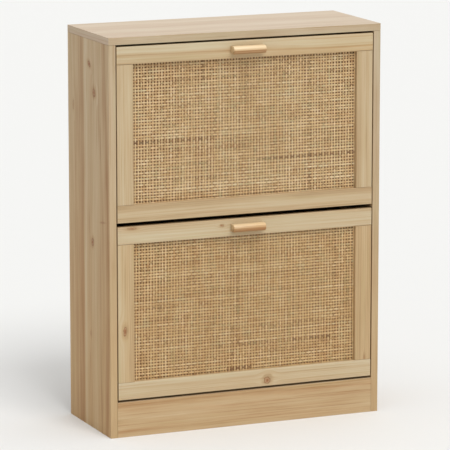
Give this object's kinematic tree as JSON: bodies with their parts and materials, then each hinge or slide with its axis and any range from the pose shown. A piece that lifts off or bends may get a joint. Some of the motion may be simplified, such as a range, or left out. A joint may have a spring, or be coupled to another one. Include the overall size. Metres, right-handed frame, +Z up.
{
  "type": "shoe cabinet",
  "caption": "Slim wooden shoe cabinet with tilting woven-rattan flaps, half-round wooden handles, a plinth and two-row shoe racks inside the flaps.",
  "frame": {"origin": "on the floor, at the middle of the whole footprint with the handles", "axes": "+Z up, the flaps face -Y, +X to the right of someone facing them"},
  "size_m": [0.6, 0.252, 0.82],
  "materials": {
    "board_veneer": "pale pine-look veneer, satin",
    "plinth_veneer": "slightly warmer pine-look veneer, satin",
    "frame_pine": "clear-lacquered pale pine with small knots",
    "handle_wood": "smooth light wood, satin lacquer",
    "rattan": "natural woven rattan core, open square weave",
    "backing_board": "raw thin board",
    "hardboard": "smooth hardboard",
    "rack_board": "pale foil-covered particle board",
    "moulded_plastic": "off-white moulded plastic",
    "zinc_steel": "bright zinc plating"
  },
  "bodies": {
    "carcass": {"back_panel": "hardboard", "bottom_panel": "board_veneer", "lower_pivot_pin_left": "zinc_steel", "lower_pivot_pin_right": "zinc_steel", "lower_stop_pin_left": "zinc_steel", "lower_stop_pin_right": "zinc_steel", "plinth": "plinth_veneer", "rear_rail": "board_veneer", "side_panel_left": "board_veneer", "side_panel_right": "board_veneer", "top_panel": "board_veneer", "upper_pivot_pin_left": "zinc_steel", "upper_pivot_pin_right": "zinc_steel", "upper_stop_pin_left": "zinc_steel", "upper_stop_pin_right": "zinc_steel", "wall_bracket_left": "zinc_steel", "wall_bracket_right": "zinc_steel", "wall_bracket_screw_left": "zinc_steel", "wall_bracket_screw_right": "zinc_steel"},
    "upper_flap": {"upper_flap_backing": "backing_board", "upper_flap_base_board": "rack_board", "upper_flap_bottom_rail": "frame_pine", "upper_flap_bracket_screw_left_lower": "zinc_steel", "upper_flap_bracket_screw_left_upper": "zinc_steel", "upper_flap_bracket_screw_right_lower": "zinc_steel", "upper_flap_bracket_screw_right_upper": "zinc_steel", "upper_flap_divider_board": "rack_board", "upper_flap_handle": "handle_wood", "upper_flap_handle_screw_left": "zinc_steel", "upper_flap_handle_screw_right": "zinc_steel", "upper_flap_rack_bracket_left": "moulded_plastic", "upper_flap_rack_bracket_right": "moulded_plastic", "upper_flap_rear_board": "rack_board", "upper_flap_stile_left": "frame_pine", "upper_flap_stile_right": "frame_pine", "upper_flap_top_rail": "frame_pine", "upper_flap_webbing": "rattan"},
    "lower_flap": {"lower_flap_backing": "backing_board", "lower_flap_base_board": "rack_board", "lower_flap_bottom_rail": "frame_pine", "lower_flap_bracket_screw_left_lower": "zinc_steel", "lower_flap_bracket_screw_left_upper": "zinc_steel", "lower_flap_bracket_screw_right_lower": "zinc_steel", "lower_flap_bracket_screw_right_upper": "zinc_steel", "lower_flap_divider_board": "rack_board", "lower_flap_handle": "handle_wood", "lower_flap_handle_screw_left": "zinc_steel", "lower_flap_handle_screw_right": "zinc_steel", "lower_flap_rack_bracket_left": "moulded_plastic", "lower_flap_rack_bracket_right": "moulded_plastic", "lower_flap_rear_board": "rack_board", "lower_flap_stile_left": "frame_pine", "lower_flap_stile_right": "frame_pine", "lower_flap_top_rail": "frame_pine", "lower_flap_webbing": "rattan"}
  },
  "joints": [
    {"name": "upper_flap_tilt", "type": "hinge", "parent": "carcass", "child": "upper_flap", "pos_m": [0, -0.082, 0.5283], "axis": [1, 0, 0], "range_deg": [0, 45]},
    {"name": "lower_flap_tilt", "type": "hinge", "parent": "carcass", "child": "lower_flap", "pos_m": [0, -0.082, 0.1624], "axis": [1, 0, 0], "range_deg": [0, 45]}
  ]
}
